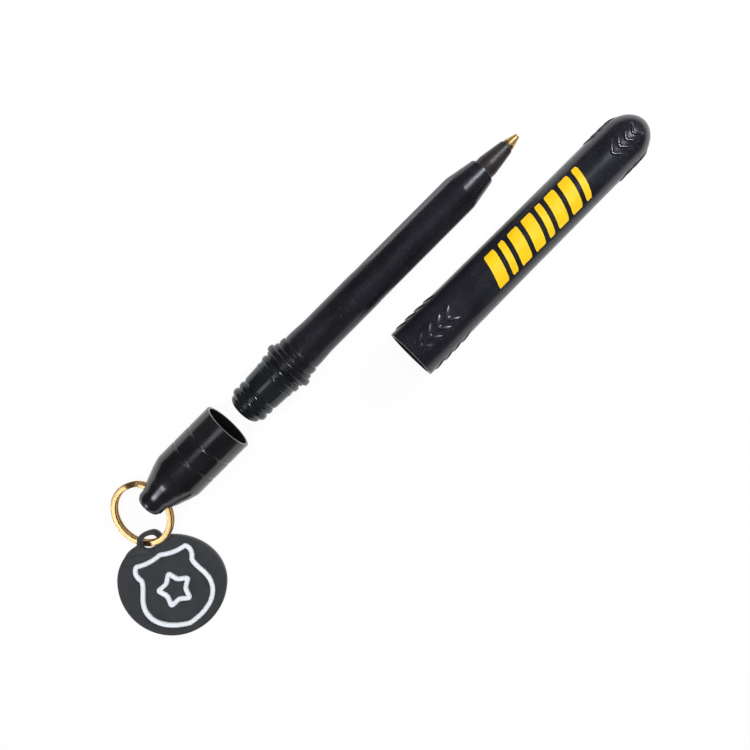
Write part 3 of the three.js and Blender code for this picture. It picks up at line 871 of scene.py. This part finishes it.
def makeRing():
    sizes = ringSizes
    (width, height), edge = sizes["wire"], sizes["edge"]
    section = []
    for cornerX, cornerZ, start in ((1, 1, 0), (-1, 1, 90), (-1, -1, 180), (1, -1, 270)):
        x, z = cornerX * (width / 2 - edge), cornerZ * (height / 2 - edge)
        section += arcPoints(x, z, edge, edge, start, start + 90, 5)
    half = math.radians(sizes["crossingHalf"])
    turns = 2 * (2 * math.pi - half)
    steps = round(sizes["stepsPerTurn"] * turns / (2 * math.pi))
    rise = height + sizes["gap"]
    tilt = Matrix.Rotation(-sizes["tilt"], 3, "Y")
    centre = Vector(sizes["centre"])
    vertices, sides = [], len(section)
    for i in range(steps + 1):
        swept = turns * i / steps + half
        angle = math.radians(sizes["crossingAt"]) + swept
        t = min(1.0, max(0.0, (swept - 2 * math.pi + half) / (2 * half)))
        z = (t * t * (3 - 2 * t) - 0.5) * rise
        end = min(1.0, sizes["endThickness"] + min(i, steps - i) / sizes["endSteps"])
        for across, up in section:
            radius = sizes["inner"] + width / 2 + across * end
            place = Vector((radius * math.cos(angle), radius * math.sin(angle), z + up * end))
            vertices.append(tuple(centre + tilt @ place))
    faces = loopFaces(steps + 1, sides, closed=False)
    faces.append(tuple(range(sides - 1, -1, -1)))
    faces.append(tuple(steps * sides + j for j in range(sides)))
    makePiece("splitRing", vertices, faces, "ring_metal", "ring_body", "key_ring", crease=60)


# Charm: measured from its hole, which the ring's wire crosses along "wire"; the wall of the tab
# that the wire passes under is bent up by "lift", over spans given in hole radii
charmSizes = {
    "hole": (-67.1035, 4.6974),
    "wire": (0.7940742, -0.6078209),
    "across": (-0.6078209, -0.7940742),
    "lift": 2.346447,
    "liftOver": 0.8,
    "liftFade": (3, 6),
    "liftInward": (0.7, 2.2),
    "holeRadius": 1.555,
    "holeRound": 0.12,
    "lean": 252,
    "radius": 13.1,
    "away": 10.81,
    "squash": 0.845,
    "squashTowards": 44.8,
    "tabRadius": 2.7,
    "tabBlend": 0.25,
    "thickness": 1.5,
    "round": 0.42,
    "directions": 256,
}


def smoothStep(value, low, high):
    t = min(1.0, max(0.0, (value - low) / (high - low)))
    return t * t * (3 - 2 * t)


def bentUp(x, y, z):
    sizes = charmSizes
    hole = sizes["holeRadius"]
    before = -(x * sizes["wire"][0] + y * sizes["wire"][1])
    across = x * sizes["across"][0] + y * sizes["across"][1]
    over = smoothStep(before, -hole * sizes["liftOver"], hole * sizes["liftOver"])
    faded = 1 - smoothStep(before, *(span * hole for span in sizes["liftFade"]))
    inward = 1 - smoothStep(across, *(span * hole for span in sizes["liftInward"]))
    return x, y, z + sizes["lift"] * over * faded * inward


# From the hole to the disc's rim; the half towards "squashTowards" is pressed oval
def discReach(angle):
    sizes = charmSizes
    turn = math.radians(sizes["squashTowards"])
    lean = math.radians(sizes["lean"])
    fromX = -sizes["away"] * math.cos(lean - turn)
    fromY = -sizes["away"] * math.sin(lean - turn)
    ahead, across = math.cos(angle - turn), math.sin(angle - turn)

    def reachOn(squash):
        a = (ahead / squash) ** 2 + across**2
        b = fromX * ahead / squash**2 + fromY * across
        c = (fromX / squash) ** 2 + fromY**2 - sizes["radius"] ** 2
        return (math.sqrt(b * b - a * c) - b) / a

    pressed = reachOn(sizes["squash"])
    return pressed if fromX + pressed * ahead >= 0 else reachOn(1)


# From the hole to the rim of disc and tab together, blended where they meet
def charmReach(angle):
    disc, tab, blend = discReach(angle), charmSizes["tabRadius"], charmSizes["tabBlend"]
    share = min(1.0, max(0.0, 0.5 + (disc - tab) / (2 * blend)))
    return tab + (disc - tab) * share + blend * share * (1 - share)


# Distances from the hole at which the points lie, close together where the tab bends, and the
# last one "rest" short of the rim
def charmRadii(room):
    hole, bend, rest = charmSizes["holeRadius"], 6, 0.6
    runs = [0.12, 0.35, 0.7, 1.1, 1.5, 1.95, 2.4, 2.9, 3.4, 4, 4.6, 5.3, bend, 7.5, 9.5, 12, 15, 18]
    last = runs[-1]
    if room < bend + 1:
        return [hole + room * run / (last + rest) for run in runs]
    beyond = room - (bend + rest)
    return [
        hole + run if run <= bend else hole + bend + beyond * (run - bend) / (last - bend)
        for run in runs
    ]


def makeCharm():
    sizes = charmSizes
    hole, thickness, edge = sizes["holeRadius"], sizes["thickness"], sizes["round"]
    inset, count = sizes["holeRound"], sizes["directions"]
    turns = [math.radians(turn) for turn in (22, 45, 68, 90)]
    bends = [(edge * math.sin(turn), edge * math.cos(turn)) for turn in turns]
    vertices = []
    for i in range(count):
        even = 2 * math.pi * i / count
        angle = math.radians(sizes["lean"]) + even - 0.5 * math.sin(even)
        reach = charmReach(angle) - edge
        radii = charmRadii(reach - hole) + [reach]
        section = [(hole + inset, 0.0)] + [(radius, 0.0) for radius in radii]
        section += [(reach + out, edge - up) for out, up in bends]
        section += [(reach + out, thickness - edge + up) for out, up in reversed(bends)]
        section += [(radius, thickness) for radius in reversed(radii)]
        section += [(hole + inset, thickness), (hole, thickness - inset), (hole, inset)]
        for radius, z in section:
            x, y, lifted = bentUp(radius * math.cos(angle), radius * math.sin(angle), z)
            vertices.append((sizes["hole"][0] + x, sizes["hole"][1] + y, lifted))
    faces = loopFaces(count, len(section))
    makePiece("charmDisc", vertices, faces, "charm_vinyl", "charm_body", "charm_disc", crease=60)


# Raised lines on the charm, drawn upright about the star's centre
lineSizes = {
    "step": 0.16,
    "smoothings": 2,
    "width": 1.15,
    "footShare": 0.9,
    "height": 0.7,
    "gap": 0.05,
    "clear": 0.02,
    "sunk": 0.1,
    "shoulder": 0.08,
    "crown": 0.55,
    "faceTurn": -3.2,
    "starBelow": 2.06,
    "starTips": 5,
    "starRadius": 4.1,
    "starWaist": 0.6,
    "starRound": 0.35,
    "peak": 8.95,
    "scoop": 7.9,
    "corner": (6.4, 8.6),
    "ear": (7.9, 7),
    "notch": (6.5, 5),
    "waist": (6.8, 2.5),
    "flank": 1,
    "side": (8.55, -1.6),
    "hip": 5.6,
    "keel": (4.6, -8),
    "tip": 8.75,
}


# A place on the charm's face, measured from its hole
def onFace(x, y):
    upright = math.radians(charmSizes["lean"] + 90 + lineSizes["faceTurn"])
    lean = math.radians(charmSizes["lean"])
    away = charmSizes["away"] + lineSizes["starBelow"]
    return (
        x * math.cos(upright) - y * math.sin(upright) + math.cos(lean) * away,
        x * math.sin(upright) + y * math.cos(upright) + math.sin(lean) * away,
    )


# Points at even steps along a closed outline
def evenPath(points, step):
    lengths = [0.0]
    loop = points + points[:1]
    for a, b in zip(loop, loop[1:]):
        lengths.append(lengths[-1] + math.dist(a, b))
    count = round(lengths[-1] / step)
    path, k = [], 0
    for i in range(count):
        want = lengths[-1] * i / count
        while lengths[k + 1] < want:
            k += 1
        t = (want - lengths[k]) / (lengths[k + 1] - lengths[k])
        path.append(tuple(a + (b - a) * t for a, b in zip(loop[k], loop[k + 1])))
    return path


# Each point of a closed path between its two neighbours
def triples(path):
    return zip(path[-1:] + path[:-1], path, path[1:] + path[:1])


def raisedLine(name, points, nodeName):
    sizes = lineSizes
    path = evenPath(points, sizes["step"])
    for _ in range(sizes["smoothings"]):
        path = [
            tuple((a + 2 * b + c) / 4 for a, b, c in zip(*triple)) for triple in triples(path)
        ]
    floor = charmSizes["thickness"] + sizes["clear"]
    half, crown = sizes["width"] / 2, sizes["crown"]
    height = sizes["height"] + sizes["gap"] - sizes["clear"]
    turns = [math.radians(turn) for turn in range(0, 181, 18)]
    foot = [(half * sizes["footShare"], -sizes["sunk"]), (half, sizes["shoulder"])]
    top = [(half * math.cos(turn), height - crown + crown * math.sin(turn)) for turn in turns]
    profile = foot + top + [(-across, up) for across, up in reversed(foot)]
    vertices = []
    for before, here, after in triples(path):
        ahead = Vector(after) - Vector(before)
        normal = Vector((ahead.y, -ahead.x)).normalized()
        for across, up in profile:
            x, y = onFace(here[0] + normal.x * across, here[1] + normal.y * across)
            x, y, z = bentUp(x, y, floor + up)
            vertices.append((charmSizes["hole"][0] + x, charmSizes["hole"][1] + y, z))
    faces = loopFaces(len(path), len(profile))
    makePiece(name, vertices, faces, "line_vinyl", "charm_body", nodeName, crease=70)


def bezierPoints(controls, steps=16):
    points = []
    degree = len(controls) - 1
    for i in range(1, steps + 1):
        t = i / steps
        weights = [math.comb(degree, k) * t**k * (1 - t) ** (degree - k) for k in range(degree + 1)]
        points.append(tuple(sum(w * c[axis] for w, c in zip(weights, controls)) for axis in (0, 1)))
    return points


def makeLines():
    sizes = lineSizes
    corner, notch, side = sizes["corner"], sizes["notch"], sizes["side"]
    half = [(0.0, sizes["peak"])]
    half += bezierPoints([half[-1], (corner[0] / 2, sizes["scoop"]), corner])
    half += bezierPoints([corner, sizes["ear"], notch])
    half += bezierPoints([notch, sizes["waist"], (side[0], sizes["flank"]), side])
    half += bezierPoints([side, (side[0], -sizes["hip"]), sizes["keel"], (0, -sizes["tip"])], 24)
    raisedLine("shieldLine", half + [(-x, y) for x, y in reversed(half[1:-1])], "charm_shield")
    star = []
    for i in range(2 * sizes["starTips"]):
        angle = math.pi / 2 + math.pi * i / sizes["starTips"]
        radius = sizes["starRadius"] * (sizes["starWaist"] if i % 2 else 1)
        star.append((radius * math.cos(angle), radius * math.sin(angle)))
    raisedLine("starLine", softened(star, sizes["starRound"], steps=5), "charm_star")


# Print: generic slanted bars laid on the cap's upper side
printSizes = {
    "middle": 39.77,
    "length": 31.5,
    "height": 7.5,
    "bars": (3.1, 1.7, 3.1, 3.1, 1.7, 3.1, 3.1, 1.7),
    "slant": 0.3,
    "corner": 0.35,
    "cornerInset": 0.22,
    "proud": 0.02,
    "sunk": 0.05,
    "rows": 14,
    "columns": 3,
}


def makePrint():
    sizes, axis = printSizes, axes["cap"]
    height, slant, corner, bars = (sizes[key] for key in ("height", "slant", "corner", "bars"))
    rows, columns = sizes["rows"], sizes["columns"]
    run = sizes["length"] - abs(slant) * height
    gap = (run - sum(bars)) / (len(bars) - 1)
    start = sizes["middle"] - run / 2
    vertices, faces = [], []
    for width in bars:
        faces += padFaces(len(vertices), rows, columns)
        for layer in (-sizes["sunk"], sizes["proud"]):
            for i in range(rows + 1):
                side = height * (i / rows - 0.5)
                beyond = max(0.0, abs(side) - (height / 2 - corner)) / corner
                inset = sizes["cornerInset"] * beyond**2
                for k in range(columns + 1):
                    x = start + inset + (width - 2 * inset) * k / columns - slant * side
                    radius = capSurface(x)[0]
                    turn, here = math.asin(side / radius), radius + layer
                    vertices.append((
                        axis["x"] + x,
                        axis["y"] - here * math.sin(turn),
                        axis["z"] + here * math.cos(turn),
                    ))
        start += width + gap
    makePiece("printBars", vertices, faces, "yellow_print", "cap_body", crease=60)


makeRing()
makeCharm()
makeLines()
makePrint()
print("ring, charm and print ready")


def makeFloor():
    half = studio["floorHalf"]
    corners = [(-half, -half, 0), (half, -half, 0), (half, half, 0), (-half, half, 0)]
    mesh = makeMesh("tableTop", corners, [(0, 1, 2, 3)])
    floor = placeObject("tableTop", mesh)
    floor.location.z = -studio["floorSunk"] * mm
    finish = Finish("paleTable").plain(
        Base_Color=studio["floorWhite"],
        Roughness=studio["floorRoughness"],
        Specular_IOR_Level=studio["floorSpecular"],
    )
    glow = finish.add("ShaderNodeEmission")
    path = finish.add("ShaderNodeLightPath")
    seen = finish.maths("MULTIPLY", path.outputs["Is Camera Ray"], studio["floorShown"])
    mirrored = finish.maths("MULTIPLY", path.outputs["Is Glossy Ray"], studio["floorGlossy"])
    seen = finish.maths("MAXIMUM", seen, mirrored)
    mix = finish.add("ShaderNodeMixShader")
    finish.link(seen, mix.inputs["Fac"])
    finish.link(finish.shader.outputs["BSDF"], mix.inputs[1])
    finish.link(glow.outputs["Emission"], mix.inputs[2])
    finish.link(mix.outputs["Shader"], finish.tree.nodes["Material Output"].inputs["Surface"])
    mesh.materials.append(finish.material)


# A tent of light that pales towards the horizon, with brighter walls beyond both ends of the pen
def makeWorld():
    world = bpy.data.worlds.new("softTent")
    bpy.context.scene.world = world
    world.use_nodes = True
    tree = world.node_tree
    background = tree.nodes["Background"]
    where = tree.nodes.new("ShaderNodeTexCoord")
    split = tree.nodes.new("ShaderNodeSeparateXYZ")
    path = tree.nodes.new("ShaderNodeLightPath")
    tree.links.new(where.outputs["Generated"], split.inputs["Vector"])

    def worked(operation, *sources):
        node = tree.nodes.new("ShaderNodeMath")
        node.operation = operation
        for source, socket in zip(sources, node.inputs):
            tree.links.new(source, socket)
        return node.outputs["Value"]

    level, sideways = split.outputs["Z"], worked("ABSOLUTE", split.outputs["X"])
    top, low, high = studio["zenithFrom"], *studio["endWallsSpan"]
    dome = smoothRange(tree, level, 0.0, top, studio["horizon"], studio["zenith"])
    ends = smoothRange(tree, sideways, low, high, 0.0, studio["endWalls"])
    camera = tree.nodes.new("ShaderNodeMix")
    setInput(camera, "B", 1.0)
    tree.links.new(path.outputs["Is Camera Ray"], camera.inputs["Factor"])
    tree.links.new(worked("ADD", dome, ends), camera.inputs["A"])
    tree.links.new(camera.outputs["Result"], background.inputs["Strength"])


def hangLamp(name, place, size, power, tint=(1, 1, 1)):
    lamp = bpy.data.lights.new(name, "AREA")
    lamp.shape = "RECTANGLE"
    lamp.size, lamp.size_y = size[0] * mm, size[1] * mm
    lamp.energy = power
    lamp.color = tint
    holder = placeObject(name, lamp)
    holder.location = Vector(place) * mm
    return holder


def makeLights():
    x, y = shot["target"][:2]
    tent = hangLamp("tentTop", (x, y, studio["tentAbove"]), studio["tentSize"], studio["tentPower"])
    tent.visible_glossy = False  # the dark gap above the pen stays dark in its gloss
    for name, box in studio["boxes"].items():
        lamp = hangLamp(name, box["at"], box["size"], box["power"], studio["boxTint"])
        if "aim" in box:
            lean = Vector(box["at"]) - Vector(box["aim"])
            lamp.rotation_euler = lean.to_track_quat("Z", "Y").to_euler()


def makeCamera():
    camera = placeObject("camera", bpy.data.cameras.new("camera"))
    x, y, z = shot["target"]
    camera.location = (x * mm, y * mm, (z + shot["distance"]) * mm)
    camera.rotation_euler = (0, 0, math.radians(shot["turn"]))
    camera.data.lens = shot["lens"]
    camera.data.sensor_width = shot["sensor"]
    camera.data.clip_start, camera.data.clip_end = (depth * mm for depth in shot["clip"])
    bpy.context.scene.camera = camera


makeFloor()
makeWorld()
makeLights()
makeCamera()
bpy.context.scene.view_settings.view_transform = "Standard"
print("studio ready")
